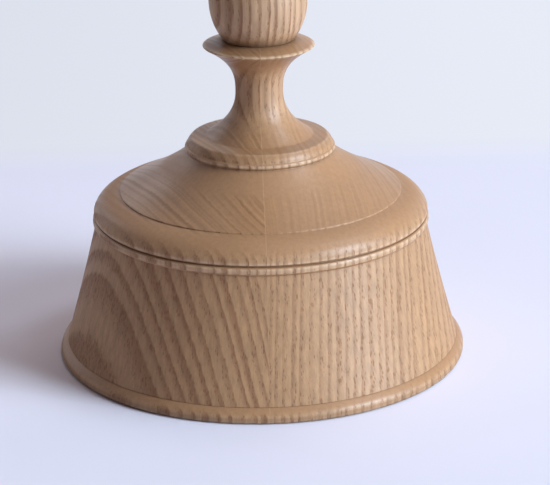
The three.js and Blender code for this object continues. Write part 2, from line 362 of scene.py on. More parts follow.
class StageSettings(PropertyGroup):
    """Camera, lamps, floor and background."""

    reach: length("Camera reach", "Level distance from the axis to the camera", 550 * MM)
    height: length("Camera height", "Height of the camera above the floor", 224.95 * MM)
    turn: angle("Camera turn", "How far the camera stands round to the left of the glue line", 1.75)
    pitch: angle("Camera pitch", "How far the camera looks down", 19.82)
    yaw: angle("Camera yaw", "How far the camera looks past the axis", 0.355)
    roll: angle("Camera roll", "How far the camera leans", -0.62)
    lens: FloatProperty(
        name="Lens", description="Focal length", default=155.27, min=1.0, unit="CAMERA"
    )
    window: watts("Window power", "Power of the window light at the right", 104.0)
    sky: watts("Sky power", "Power of the small light above the window", 12.0)
    high: watts("High power", "Power of the high light at the right", 12.0)
    back: watts("Back power", "Power of the soft light from behind", 3.0)
    fill: watts("Fill power", "Power of the soft light from above", 14.0)
    daylight: color("Daylight", "Colour of the window light and the high light", (0.69, 0.84, 1.0))
    back_color: color(
        "Back colour", "Colour of the soft lights from behind and above", (0.98, 0.93, 0.94)
    )
    ambient: number("Ambient", "Strength of the light from all round", 0.12, 0.0)
    ambient_color: color("Ambient colour", "Colour of the light from all round", (1.0, 0.87, 0.9))
    background: color("Background", "Colour behind the floor at the left", (0.72, 0.75, 0.84))
    bright_background: color(
        "Bright background", "Colour behind the floor at the right", (0.80, 0.835, 0.93)
    )
    floor: color("Floor", "Colour of the floor", (0.81, 0.76, 0.83))
    floor_end: length(
        "Floor end", "How far behind the axis the floor fades into the background", 154 * MM
    )


class CandleStandSettings(PropertyGroup):
    """Everything that can be set on the candle stand."""

    turning: PointerProperty(type=TurningSettings)
    foot: PointerProperty(type=FootSettings)
    collar: PointerProperty(type=CollarSettings)
    stem: PointerProperty(type=StemSettings)
    pan: PointerProperty(type=PanSettings)
    cup: PointerProperty(type=CupSettings)
    liner: PointerProperty(type=LinerSettings)
    dowel: PointerProperty(type=DowelSettings)
    baize: PointerProperty(type=BaizeSettings)
    left_grain: PointerProperty(type=LeftBoardGrain)
    right_grain: PointerProperty(type=RightBoardGrain)
    stem_grain: PointerProperty(type=StemGrain)
    ash: PointerProperty(type=AshSettings)
    metal: PointerProperty(type=MetalSettings)
    dowel_grain: PointerProperty(type=DowelGrain)
    stage: PointerProperty(type=StageSettings)


# Outlines

# An outline that turns by more than this at a point has a corner there
CORNER = math.radians(24)
CORNER_STEPS = 6

# The most of a stretch between two corners that the rounding of either may take
LONGEST_EASE = 0.45

# How far from a corner the painted highlight on arrises and the painted shade in quirks reach
EDGE_PAINT_REACH = 0.8 * MM


class Outline:
    """A turned outline of radius and height, from the axis, round the wood and back to it."""

    def __init__(self, radius, height, steps):
        self.points = [Vector((radius, height))]
        self.steps = steps

    def line(self, radius, height):
        self.points.append(Vector((radius, height)))

    def quarter(self, leaves, radius, height):
        """A quarter of an ellipse that leaves upright, or flat, and arrives the other way."""
        start = self.points[-1]
        for i in range(1, self.steps + 1):
            turn = i / self.steps * math.pi / 2
            slow = 1 - math.cos(turn)
            fast = math.sin(turn)
            across, along = (slow, fast) if leaves == "upright" else (fast, slow)
            self.line(start.x + (radius - start.x) * across, start.y + (height - start.y) * along)

    def bow(self, radius, height, bulge):
        """A flat curve whose middle stands off the straight line by bulge, out from the axis."""
        start = self.points[-1]
        end = Vector((radius, height))
        for i in range(1, self.steps + 1):
            t = i / self.steps
            point = start.lerp(end, t)
            self.line(point.x + 4 * t * (1 - t) * bulge, point.y)

    def ogee(self, radius, height):
        """A smooth double curve that leaves and arrives upright."""
        start = self.points[-1]
        for i in range(1, 2 * self.steps + 1):
            t = i / (2 * self.steps)
            ease = t * t * (3 - 2 * t)
            self.line(start.x + (radius - start.x) * ease, start.y + (height - start.y) * t)

    def bend(self, knee, end):
        """A curve that leaves the last point towards the knee and arrives at the end from it."""
        start = self.points[-1]
        for i in range(1, self.steps + 1):
            self.line(*on_bend(start, knee, end, i / self.steps))

    def cove(self, radius, height, opening):
        """A cove from its mouth in to a waist. The larger opening is, the sooner it narrows."""
        mouth = self.points[-1]
        for i in range(1, 2 * self.steps + 1):
            t = i / (2 * self.steps)
            wide = (1 - t) ** opening
            self.line(radius + (mouth.x - radius) * wide, mouth.y + (height - mouth.y) * t)

    def bead(self, height, proud):
        """A half-round bead that stands proud and comes back to the last point's radius."""
        start = self.points[-1]
        for i in range(1, self.steps + 1):
            turn = i / self.steps * math.pi
            self.line(start.x + proud * math.sin(turn), start.y + height * (1 - math.cos(turn)) / 2)

    def corners(self):
        """The numbers of the points where the outline turns sharply."""
        found = []
        for i in range(1, len(self.points) - 1):
            before = self.points[i] - self.points[i - 1]
            after = self.points[i + 1] - self.points[i]
            if before.length > 0 and after.length > 0 and abs(before.angle_signed(after)) > CORNER:
                found.append(i)
        return found

    def eased(self, reach):
        """The outline's points, with each sharp corner rounded over reach to both sides."""
        along = distances(self.points)

        def at(distance):
            i = next(i for i, s in enumerate(along[1:], 1) if s >= distance or i == len(along) - 1)
            span = along[i] - along[i - 1]
            return self.points[i - 1].lerp(self.points[i], (distance - along[i - 1]) / span)

        stops = [0, *self.corners(), len(self.points) - 1]
        ease = [0.0]
        for a, b, c in zip(stops, stops[1:], stops[2:]):
            shorter = min(along[b] - along[a], along[c] - along[b])
            ease.append(min(reach, LONGEST_EASE * shorter))
        ease.append(0.0)
        made = []
        for k in range(len(stops) - 1):
            first = along[stops[k]] + ease[k]
            last = along[stops[k + 1]] - ease[k + 1]
            made.append(at(first))
            for point, here in zip(self.points, along):
                if first + TOUCH < here < last - TOUCH:
                    made.append(point)
            made.append(at(last))
            if ease[k + 1] > 0:
                corner = self.points[stops[k + 1]]
                end = at(along[stops[k + 1]] + ease[k + 1])
                for i in range(1, CORNER_STEPS):
                    made.append(on_bend(at(last), corner, end, i / CORNER_STEPS))
        return made


def on_bend(start, corner, end, t):
    """The point at t, from 0 to 1, of a curve from start, bent by the corner, to end."""
    return start.lerp(corner, t).lerp(corner.lerp(end, t), t)


def distances(points):
    """How far along the outline each point lies."""
    along = [0.0]
    for a, b in zip(points, points[1:]):
        along.append(along[-1] + (b - a).length)
    return along


def refined(points):
    """The points, with more at the ends of long straights, so that the painted highlight and shade
    of the corners keep to the ends.
    """
    made = [points[0]]
    for a, b in zip(points, points[1:]):
        span = (b - a).length
        if span > 2 * EDGE_PAINT_REACH:
            made.append(a.lerp(b, EDGE_PAINT_REACH / span))
            made.append(b.lerp(a, EDGE_PAINT_REACH / span))
        elif span > EDGE_PAINT_REACH:
            made.append(a.lerp(b, 0.5))
        made.append(b)
    return made


def sharpness(points):
    """The radians that the outline turns close to each point, below 0 in a quirk."""
    along = distances(points)
    turns = [0.0]
    for a, b, c in zip(points, points[1:], points[2:]):
        turns.append((c - b).angle_signed(b - a))
    turns.append(0.0)
    found = []
    for here in along:
        near = (turn * max(0.0, 1 - abs(there - here) / EDGE_PAINT_REACH) for turn, there in zip(turns, along))
        found.append(sum(near))
    return found


# Meshes

# Edges that turn by more than this are shaded sharp
SHARP = math.radians(38)

# Faces across each flute of a dowel, and the power of the cosine that shapes the flute
FLUTE_FACES = 12
FLUTE_POWER = 0.7

# Steps round the baize's cut edge, and the waves to the metre of its nap, each with its share
CUT_EDGE_STEPS = 6
NAP_WAVES = ((900, 0.6), (2600, 0.4))


def object_from(name, solid, flat=()):
    """An object from a bmesh, shaded smooth but for its sharp edges and those of the flat faces."""
    bmesh.ops.recalc_face_normals(solid, faces=solid.faces)
    for face in solid.faces:
        face.smooth = True
    for edge in solid.edges:
        edge.smooth = edge.calc_face_angle(0) < SHARP
    for face in flat:
        for edge in face.edges:
            edge.smooth = False
    data = bpy.data.meshes.new(name)
    solid.to_mesh(data)
    solid.free()
    made = bpy.data.objects.new(name, data)
    bpy.context.scene.collection.objects.link(made)
    return made


def skin(solid, low, high, count):
    """Faces between two rings of vertices. A ring of one vertex is a point on the axis."""
    for i in range(count):
        j = i + 1
        corners = [low[i % len(low)], low[j % len(low)], high[j % len(high)], high[i % len(high)]]
        solid.faces.new(list(dict.fromkeys(corners)))


def about_axis(radius, turn, height):
    """The place at a radius and a height, turned about the axis from the stand's right."""
    return Vector((radius * math.cos(turn), radius * math.sin(turn), height))


def turned(name, outline, turning, side=0):
    """The outline turned about the axis, or half of it, closed flat, on one side of x = 0."""
    points = refined(outline.eased(turning.arris))
    sharp_at = sharpness(points)
    closed = (points[0] - points[-1]).length < TOUCH
    if closed:
        points.pop()
    columns = turning.faces // 2 + 1 if side else turning.faces
    start = -side * math.pi / 2
    sweep = math.pi / (columns - 1) if side else FULL_TURN / columns
    solid = bmesh.new()
    edge = solid.verts.layers.float.new("edge")
    rings = []
    for point, sharp in zip(points, sharp_at):
        ring = []
        for i in range(1 if point.x < TOUCH else columns):
            vertex = solid.verts.new(about_axis(point.x, start + i * sweep, point.y))
            vertex[edge] = sharp
            ring.append(vertex)
        rings.append(ring)
    for low, high in zip(rings, rings[1:]):
        skin(solid, low, high, columns - 1 if side else columns)
    if closed:
        skin(solid, rings[-1], rings[0], columns)
    section = []
    if side:
        near = [ring[0] for ring in rings]
        far = [ring[-1] for ring in rings if len(ring) > 1]
        border = near + far[::-1]
        for triangle in tessellate_polygon([[vertex.co for vertex in border]]):
            section.append(solid.faces.new([border[i] for i in triangle]))
    return object_from(name, solid, section)


def fluted(name, low, high, dowel):
    """A dowel with shallow rounded flutes and chamfered ends, between two heights."""
    radius = dowel.diameter / 2
    columns = dowel.flutes * FLUTE_FACES
    solid = bmesh.new()
    rings = [[solid.verts.new((0, 0, low))]]
    ends = (
        (low, radius - dowel.chamfer),
        (low + dowel.chamfer, radius),
        (high - dowel.chamfer, radius),
        (high, radius - dowel.chamfer),
    )
    for height, reach in ends:
        ring = []
        for i in range(columns):
            turn = i / columns * FULL_TURN
            flute = max(0.0, math.cos(dowel.flutes * turn)) ** FLUTE_POWER
            across = reach - dowel.flute_depth * flute
            ring.append(solid.verts.new(about_axis(across, turn, height)))
        rings.append(ring)
    rings.append([solid.verts.new((0, 0, high))])
    for below, above in zip(rings, rings[1:]):
        skin(solid, below, above, columns)
    return object_from(name, solid)


def felted(name, low, high, radius, baize):
    """A round of baize with a rounded cut edge, its nap standing a little out of true."""
    outline = []
    for i in range(baize.rings + 1):
        outline.append((i / baize.rings * (radius - baize.edge), low))
    for i in range(1, CUT_EDGE_STEPS):
        turn = i / CUT_EDGE_STEPS * math.pi / 2
        across = radius - baize.edge * (1 - math.sin(turn))
        outline.append((across, low + baize.edge * (1 - math.cos(turn))))
    middle = (low + high) / 2
    outline += [(across, 2 * middle - height) for across, height in reversed(outline)]
    solid = bmesh.new()
    rings = []
    for across, height in outline:
        ring = []
        for i in range(1 if across < TOUCH else baize.faces):
            place = about_axis(across, i / baize.faces * FULL_TURN, height)
            rough = sum(noise.noise(place * waves) * part for waves, part in NAP_WAVES)
            out = Vector((place.x, place.y, 0)) * (1 - baize.nap / radius)
            lift = math.copysign(baize.nap, height - middle) * (rough - 1)
            ring.append(solid.verts.new((out.x, out.y, height + lift)))
        rings.append(ring)
    for below, above in zip(rings, rings[1:]):
        skin(solid, below, above, baize.faces)
    return object_from(name, solid)


# Finishes

class Finish:
    """One node material, built node by node. A value is a number, a tuple or a node's output."""

    def __init__(self, name, target=None):
        self.material = target or bpy.data.materials.new(name)
        self.material.use_nodes = True
        self.nodes = self.material.node_tree.nodes
        self.links = self.material.node_tree.links
        self.nodes.clear()

    def feed(self, socket, value):
        if isinstance(value, bpy.types.NodeSocket):
            self.links.new(value, socket)
        elif socket.type == "RGBA":
            socket.default_value = (*value, 1.0)
        else:
            socket.default_value = value

    def node(self, kind, values, **settings):
        made = self.nodes.new(kind)
        for key, value in settings.items():
            setattr(made, key, value)
        for socket, value in values.items():
            self.feed(made.inputs[socket], value)
        return made

    def millimetres(self):
        """The place on the piece, in millimetres from the frame's origin."""
        place = self.node("ShaderNodeTexCoord", {}).outputs["Object"]
        return self.vector("MULTIPLY", place, (1 / MM, 1 / MM, 1 / MM))

    def math(self, operation, *values):
        return self.node("ShaderNodeMath", dict(enumerate(values)), operation=operation).outputs[0]

    def total(self, *values):
        """The sum of several values."""
        made = values[0]
        for value in values[1:]:
            made = self.math("ADD", made, value)
        return made

    def times(self, *values):
        """The product of several values."""
        made = values[0]
        for value in values[1:]:
            made = self.math("MULTIPLY", made, value)
        return made

    def vector(self, operation, *values):
        made = self.node("ShaderNodeVectorMath", dict(enumerate(values)), operation=operation)
        return made.outputs["Value" if operation == "LENGTH" else "Vector"]

    def axis(self, vector, name):
        return self.node("ShaderNodeSeparateXYZ", {0: vector}).outputs[name]

    def shaded(self, tint, brightness):
        """A colour made brighter or darker."""
        values = {0: tint, "Scale": brightness}
        return self.node("ShaderNodeVectorMath", values, operation="SCALE").outputs["Vector"]

    def smooth(self, value, low, high):
        """0 below low, 1 above high and smooth between them. It falls where low is the larger."""
        values = {0: value, 1: low, 2: high}
        return self.node("ShaderNodeMapRange", values, interpolation_type="SMOOTHSTEP").outputs[0]

    def span(self, value, low, high):
        """A value from 0 to 1, laid out between low and high."""
        return self.math("MULTIPLY_ADD", value, high - low, low)

    def between(self, value, low, high, soft):
        """1 from low to high and 0 outside, with soft slopes as wide as 2 * soft."""
        rise = self.smooth(value, low - soft, low + soft)
        return self.times(rise, self.smooth(value, high + soft, high - soft))

    def mix(self, share_of_second, first, second):
        values = {0: share_of_second, 6: first, 7: second}
        return self.node("ShaderNodeMix", values, data_type="RGBA").outputs[2]

    def mix_shaders(self, share_of_second, first, second):
        values = {0: share_of_second, 1: first.outputs[0], 2: second.outputs[0]}
        return self.node("ShaderNodeMixShader", values).outputs[0]

    def noise(self, place, stretch, detail, output="Fac"):
        """Cloudy noise with stretch waves to the millimetre along each axis."""
        values = {"Vector": self.vector("MULTIPLY", place, stretch), "Scale": 1.0, "Detail": detail}
        return self.node("ShaderNodeTexNoise", values).outputs[output]

    def line_noise(self, value, waves):
        values = {"W": value, "Scale": waves, "Detail": 1.0}
        return self.node("ShaderNodeTexNoise", values, noise_dimensions="1D").outputs["Fac"]

    def bump(self, height, depth):
        values = {"Height": height, "Distance": depth, "Strength": 1.0}
        return self.node("ShaderNodeBump", values).outputs["Normal"]

    def surface(self, values):
        """The material's output, a Principled surface with these values."""
        shader = self.node("ShaderNodeBsdfPrincipled", values)
        self.node("ShaderNodeOutputMaterial", {"Surface": shader.outputs[0]})
        return self.material


# Where parts of the ash's look begin and are full. A face is told by how far it looks up or down,
# a corner by the radians that it turns and a crevice by the light that reaches it.
END_GRAIN = (0.33, 0.85)
POLISHED = (0.25, 0.6)
DULLED = (0.75, 0.95)
# The next three place a painted highlight on arrises, painted shade in quirks and painted shade in
# crevices
ARRIS_HIGHLIGHT = (0.25, 1.0)
QUIRK_SHADE = (-0.15, -1.2)
CREVICE = (0.92, 0.1)

# Distance from the turning axis, in millimetres, at which the paler wood begins and is full
PALE_WOOD = (18, 10)

# How much of the wood beyond a board's radius of fast growth adds no years
FAST_WOOD = 0.56


def ash(name, grain, look, glued):
    """Oiled ash, its fibres upright: rings round the pith, pores in early wood, painted highlights
    on arrises and painted shade in quirks and crevices.
    """
    wood = Finish(name)
    place = wood.millimetres()

    # Where the turning has cut across the fibres, the rings and the pores show little
    normal = wood.node("ShaderNodeTexCoord", {}).outputs["Normal"]
    facing_up = wood.math("ABSOLUTE", wood.axis(normal, "Z"))
    end_grain = wood.smooth(facing_up, *END_GRAIN)
    from_axis = wood.vector("LENGTH", wood.vector("MULTIPLY", place, (1, 1, 0)))
    plinth_band = wood.between(from_axis, look.plinth_band[0] / MM, look.plinth_band[1] / MM, 1.0)
    dome_band = wood.between(from_axis, look.dome_band[0] / MM, look.dome_band[1] / MM, 1.5)
    banded = wood.total(plinth_band, dome_band)
    plain = wood.times(end_grain, wood.total(1.0, wood.times(banded, -grain.end_contrast)))
    show = wood.math("SUBTRACT", 1.0, plain)
    cut_open = wood.span(end_grain, 1.0, 0.08)

    # Growth rings, dark and open where each year starts and fading to dense pale wood
    drift = wood.noise(place, (0.04, 0.04, 0.02), 1.0, "Color")
    drift = wood.vector("SUBTRACT", drift, (0.5, 0.5, 0.5))
    drift = wood.vector("MULTIPLY", drift, (2 * look.drift / MM, 2 * look.drift / MM, 0))
    pith_place = (grain.pith[0] / MM, grain.pith[1] / MM, 0)
    from_pith = wood.vector("SUBTRACT", wood.vector("ADD", place, drift), pith_place)
    radius = wood.vector("LENGTH", wood.vector("MULTIPLY", from_pith, (1, 1, 0)))
    beyond = wood.math("MAXIMUM", wood.math("SUBTRACT", radius, grain.fast_growth / MM), 0.0)
    evened = wood.math("SUBTRACT", radius, wood.times(beyond, FAST_WOOD))
    grown = wood.math("SUBTRACT", evened, grain.first_ring / MM)
    age = wood.math("DIVIDE", grown, grain.ring_width / MM)
    ragged = wood.span(wood.noise(place, (0.8, 0.8, 0.05), 1.0), -0.12, 0.12)
    age = wood.total(age, wood.span(wood.line_noise(age, 0.45), -0.5, 0.5), ragged)
    season = wood.math("FRACT", age)
    years = {"W": wood.math("FLOOR", age)}
    year = wood.node("ShaderNodeTexWhiteNoise", years, noise_dimensions="1D")
    early = wood.times(
        wood.smooth(season, grain.early, 0.15),
        wood.smooth(season, 0.0, 0.18),
        wood.span(year.outputs["Value"], 0.6, 1.0),
    )
    early = wood.math("POWER", early, wood.span(end_grain, 1.0, 1.4))

    # Pores, as short upright vessels that the turning has cut open
    pore_grid = (MM / look.pore_spacing, MM / look.pore_spacing, MM / look.pore_length)
    cells = {"Vector": wood.vector("MULTIPLY", place, pore_grid), "Scale": 1.0}
    vessels = wood.node("ShaderNodeTexVoronoi", cells).outputs
    size = wood.span(wood.axis(vessels["Color"], "X"), -0.15, 0.68)
    porous = wood.times(
        wood.smooth(season, grain.early, grain.early - 0.35),
        wood.smooth(season, 0.0, 0.1),
    )
    reach = wood.times(wood.span(porous, 0.2, 1.0), size)
    pore = wood.smooth(wood.math("SUBTRACT", reach, vessels["Distance"]), -0.15, 0.25)
    pore = wood.times(pore, cut_open)

    # Fine texture of the wood, and the painted highlight and painted shade that follow the shape's
    # corners and crevices
    cloud = wood.noise(place, (0.06, 0.06, 0.03), 2.0)
    streak = wood.noise(place, (1.1, 1.1, 0.03), 3.0)
    fibre = wood.noise(place, (3.4, 3.4, 0.12), 3.0)
    edge = wood.node("ShaderNodeAttribute", {}, attribute_name="edge").outputs["Fac"]
    arris = wood.smooth(edge, *ARRIS_HIGHLIGHT)
    # Painted shade in the concave corners, such as the quirks
    quirk = wood.smooth(edge, *QUIRK_SHADE)
    # Ambient occlusion, used to paint shade into the crevices
    hollow = wood.node("ShaderNodeAmbientOcclusion", {"Distance": look.shade_reach}, samples=6)
    painted_shade = wood.smooth(hollow.outputs["AO"], *CREVICE)

    # Colour
    # The wood is made paler near the turning axis
    pale = wood.times(wood.smooth(from_axis, *PALE_WOOD), grain.paleness)
    late_wood = wood.mix(pale, look.late_wood[:], look.pale_wood[:])
    tint = wood.mix(end_grain, late_wood, look.end_wood[:])
    tint = wood.mix(wood.times(early, show, grain.contrast), tint, look.early_wood[:])
    # Painted highlight: arrises and beads are made paler, except across early wood
    tint = wood.mix(wood.times(arris, wood.span(early, 0.8, 0.1)), tint, look.sanded[:])
    tint = wood.mix(wood.times(pore, 0.5), tint, look.pore[:])
    if glued:
        across = wood.math("ABSOLUTE", wood.axis(place, "X"))
        line = wood.smooth(across, look.glue_width / MM, look.glue_width / MM / 2)
        tint = wood.mix(wood.times(line, wood.span(end_grain, 0.05, 0.4)), tint, look.glue_line[:])
    fine = wood.total(
        wood.span(streak, -look.streaks, look.streaks),
        wood.span(fibre, -look.fibres, look.fibres),
    )
    # Rows along the rings in the open end grain: the ring figure, partly a painted sheen that
    # brightens some rows
    rows_and_sheen = wood.span(wood.line_noise(age, 2.4), -0.5, 0.5)
    rows_and_sheen = wood.times(rows_and_sheen, banded, end_grain, grain.end_contrast)
    fine = wood.total(wood.times(fine, wood.span(end_grain, 1.0, 0.45)), rows_and_sheen)
    light = wood.total(fine, wood.span(cloud, 0.9, 1.1))
    # Painted shade darkens the quirks and the crevices
    light = wood.times(light, wood.span(quirk, 1.0, 0.92), wood.span(painted_shade, 1.0, 0.45))

    # Surface
    polish = wood.smooth(facing_up, *POLISHED)
    dull = wood.smooth(facing_up, *DULLED)
    polish = wood.total(polish, wood.times(dull, wood.span(banded, -0.9, 0.2)))
    roughness = wood.total(
        wood.span(polish, 0.54, 0.34),
        wood.times(early, 0.08),
        wood.times(pore, 0.2),
    )
    relief = wood.total(wood.times(pore, -1.0), wood.times(fibre, 0.3))
    return wood.surface({
        "Base Color": wood.shaded(tint, light),
        "Roughness": roughness,
        "Specular IOR Level": wood.span(end_grain, 0.5, 0.3),
        "Normal": wood.bump(relief, look.relief),
    })


def brass(name, look):
    """Spun brass: fine rings from the lathe and a little tarnish."""
    metal = Finish(name)
    place = metal.millimetres()
    radius = metal.vector("LENGTH", metal.vector("MULTIPLY", place, (1, 1, 0)))
    marks = metal.line_noise(metal.total(radius, metal.axis(place, "Z")), 7.0)
    bloom = metal.noise(place, (0.16, 0.16, 0.16), 4.0)
    tarnish = metal.smooth(metal.total(bloom, metal.span(marks, -0.08, 0.08)), 0.42, 0.72)
    return metal.surface({
        "Base Color": metal.mix(tarnish, look.brass[:], look.tarnish[:]),
        "Metallic": 1.0,
        "Roughness": metal.total(metal.span(tarnish, 0.24, 0.46), metal.span(marks, -0.04, 0.04)),
        "Normal": metal.bump(marks, 0.03 * MM),
    })


def beech(name, look):
    """Beech with its fibres upright and the short flecks of its rays."""
    wood = Finish(name)
    place = wood.millimetres()
    fibre = wood.noise(place, (2.0, 2.0, 0.08), 3.0)
    flecks = wood.noise(place, (1.4, 5.0, 0.55), 1.0)
    fleck = wood.smooth(flecks, 0.6, 0.68)
    tint = wood.mix(wood.times(fleck, 0.7), look.beech[:], look.fleck[:])
    return wood.surface({
        "Base Color": wood.shaded(tint, wood.span(fibre, 0.85, 1.15)),
        "Roughness": wood.span(fibre, 0.6, 0.8),
        "Normal": wood.bump(wood.total(fibre, wood.times(fleck, -0.5)), 0.05 * MM),
    })


def felt(name, look):
    """Wool baize: short fibres lying every way, rubbed paler in patches."""
    cloth = Finish(name)
    place = cloth.millimetres()
    nap = cloth.noise(place, (4.0, 4.0, 4.0), 4.0)
    rub = cloth.noise(place, (0.09, 0.09, 0.09), 3.0)
    worn = cloth.smooth(cloth.total(rub, cloth.span(nap, -0.2, 0.2)), 0.45, 0.75)
    tint = cloth.mix(worn, look.wool[:], look.worn_wool[:])
    return cloth.surface({
        "Base Color": cloth.shaded(tint, cloth.span(nap, 0.6, 1.4)),
        "Roughness": cloth.span(nap, 0.9, 1.0),
        "Sheen Weight": 0.35,
        "Sheen Roughness": 0.5,
        "Normal": cloth.bump(nap, 0.25 * MM),
    })


def backdrop_rays(finish):
    """1 for the rays that see the background: the camera's, and those in gloss and glass."""
    rays = finish.node("ShaderNodeLightPath", {}).outputs
    seen = finish.math("MAXIMUM", rays["Is Camera Ray"], rays["Is Glossy Ray"])
    return finish.math("MAXIMUM", seen, rays["Is Transmission Ray"])


# Half widths, in millimetres, of the fades from the floor to the background and from left to right
FLOOR_FADE = 20
BACKGROUND_FADE = 120


def floor_finish(name, stage):
    """A plain pale floor that fades into the background behind the stand."""
    floor = Finish(name)
    place = floor.millimetres()
    end = stage.floor_end / MM
    behind = floor.smooth(floor.axis(place, "Y"), end - FLOOR_FADE, end + FLOOR_FADE)
    cloud = floor.noise(place, (0.02, 0.02, 0.02), 2.0)
    near = floor.node("ShaderNodeBsdfPrincipled", {
        "Base Color": floor.shaded(stage.floor[:], floor.span(cloud, 0.98, 1.02)),
        "Roughness": 0.9,
        "Specular IOR Level": 0.1,
    })
    rightward = floor.smooth(floor.axis(place, "X"), -BACKGROUND_FADE, BACKGROUND_FADE)
    backdrop = floor.mix(rightward, stage.background[:], stage.bright_background[:])
    far = floor.node("ShaderNodeEmission", {"Color": backdrop, "Strength": 1.0})
    share_of_far = floor.times(behind, backdrop_rays(floor))
    both = floor.mix_shaders(share_of_far, near, far)
    floor.node("ShaderNodeOutputMaterial", {"Surface": both})
    return floor.material


# Outlines of the pieces, in the frame's heights

def collar_and_neck(outline, collar, seat_height, side):
    """The collar from the ball's seat to its thin edge, and the neck behind it.

    side is -1 for the collar under the ball and 1 for the one above it.
    """
    mouth = collar.mouth / 2
    rim = seat_height + side * collar.face_rise
    back = rim + side * collar.edge
    waist = back + side * collar.neck_rise
    outline.line(collar.seat / 2, seat_height)
    outline.line(mouth, rim)
    outline.line(collar.diameter / 2, (rim + back) / 2)
    outline.line(mouth, back)
    outline.cove(collar.neck / 2, waist, collar.opening)
    return waist


def foot_outline(stand):
    foot = stand.foot
    turning = stand.turning
    radius = foot.diameter / 2
    wall_foot = radius - foot.rim_width
    drum_top = foot.drum_top / 2
    lip = drum_top + foot.lip_proud
    step = foot.step / 2
    recess = radius - foot.land
    recess_depth = baize_high.z
    seat_height = ball_low.z
    bore_foot = seat_height - turning.bore_depth
    shoulder = foot.wall_top + foot.cord_height + foot.quirk_height
    lip_top = shoulder + foot.lip_height
    knee = Vector((lip - foot.knee_lean, lip_top + foot.knee_rise))
    shoulder_top = lip_top + foot.shoulder_rise
    dome = shoulder_top + foot.step_rise
    plinth = dome + foot.dome_rise
    plinth_top = plinth + foot.plinth_cord_height + foot.plinth_band_height
    neck_foot = plinth_top + foot.plinth_top_rise
    outline = Outline(0, recess_depth, turning.arc_steps)
    outline.line(recess, recess_depth)
    outline.line(recess, 0)
    outline.line(radius - foot.rim_edge, 0)
    outline.quarter("flat", radius, foot.rim_edge)
    outline.line(radius, foot.rim_face)
    outline.bend(Vector((radius, foot.rim_knee)), Vector((wall_foot, foot.rim_height)))
    outline.line(wall_foot - foot.rim_line, foot.rim_height + foot.rim_line / 2)
    outline.line(wall_foot, foot.rim_height + foot.rim_line)
    outline.bow(drum_top, foot.wall_top, -foot.drum_hollow)
    outline.bead(foot.cord_height, foot.cord_proud)
    outline.line(drum_top - foot.quirk_depth, shoulder - foot.quirk_height / 2)
    outline.line(lip, shoulder + foot.lip_proud / 4)
    outline.line(lip, lip_top)
    outline.bend(knee, Vector((step, shoulder_top)))
    outline.line(step, dome)
    outline.bow(foot.plinth / 2, plinth, -foot.dome_hollow)
    outline.bead(foot.plinth_cord_height, foot.plinth_cord_proud)
    outline.bow(foot.plinth_top / 2, plinth_top, foot.plinth_band_bulge)
    outline.line(foot.cove_foot / 2, neck_foot)
    outline.cove(stand.collar.neck / 2, neck_foot + foot.neck_rise, foot.neck_opening)
    collar = Outline(0, seat_height, turning.arc_steps)
    collar_and_neck(collar, stand.collar, seat_height, -1)
    for point in collar.points[-2:0:-1]:
        outline.line(*point)
    outline.line(turning.bore / 2, seat_height)
    outline.line(turning.bore / 2, bore_foot)
    outline.line(0, bore_foot)
    return outline


def ball_outline(stand):
    """An upright oval between two flat seats, bored through for the dowel."""
    turning = stand.turning
    radius = ball_high.x
    half_height = (ball_high.z - ball_low.z) / 2
    middle = ball_low.z + half_height
    seat_angle = math.acos(stand.collar.seat / 2 / radius)
    oval = half_height / math.sin(seat_angle)
    steps = 4 * turning.arc_steps
    outline = Outline(turning.bore / 2, ball_low.z, turning.arc_steps)
    for i in range(steps + 1):
        turn = (2 * i / steps - 1) * seat_angle
        outline.line(radius * math.cos(turn), middle + oval * math.sin(turn))
    outline.line(turning.bore / 2, ball_high.z)
    outline.line(turning.bore / 2, ball_low.z)
    return outline


def stem_outline(stand):
    stem = stand.stem
    bore = stand.turning.bore / 2
    depth = stand.turning.bore_depth
    outline = Outline(0, stem_low.z + depth, stand.turning.arc_steps)
    outline.line(bore, stem_low.z + depth)
    outline.line(bore, stem_low.z)
    waist = collar_and_neck(outline, stand.collar, stem_low.z, 1)
    cove_top = waist + stem.cove_rise
    vase_foot = cove_top + stem.cord_height
    vase_top = vase_foot + stem.belly_rise + stem.taper_rise
    outline.quarter("upright", stem.cove / 2, cove_top)
    outline.bead(stem.cord_height, stem.cord_proud)
    outline.line(stem.vase_foot / 2, vase_foot)
    outline.quarter("flat", stem.belly / 2, vase_foot + stem.belly_rise)
    outline.ogee(stem.vase_top / 2, vase_top)
    outline.bead(stem.cord_height, stem.cord_proud)
    outline.quarter("upright", stem.pan_seat / 2, stem_high.z)
    outline.line(bore, stem_high.z)
    outline.line(bore, stem_high.z - depth)
    outline.line(0, stem_high.z - depth)
    return outline


def pan_outline(stand):
    pan = stand.pan
    bore = stand.turning.bore / 2
    radius = pan.diameter / 2
    edge = pan.edge / 2
    base = pan_low.z
    top = base + pan.rise + pan.edge
    dish = top - pan.dish_depth
    hub = dish + pan.hub_rise
    cup_foot = stand.cup.foot / 2
    outline = Outline(bore, base, stand.turning.arc_steps)
    outline.line(stand.stem.pan_seat / 2, base)
    outline.quarter("flat", radius - edge / 2, base + pan.rise)
    outline.line(radius, base + pan.rise + edge)
    outline.line(radius - edge / 2, top)
    outline.line(radius - edge - edge / 2, top)
    outline.quarter("upright", radius - edge - pan.dish_wall, dish)
    outline.line(cup_foot + pan.hub_rise, dish)
    outline.line(cup_foot, hub)
    outline.line(bore, hub)
    outline.line(bore, base)
    return outline


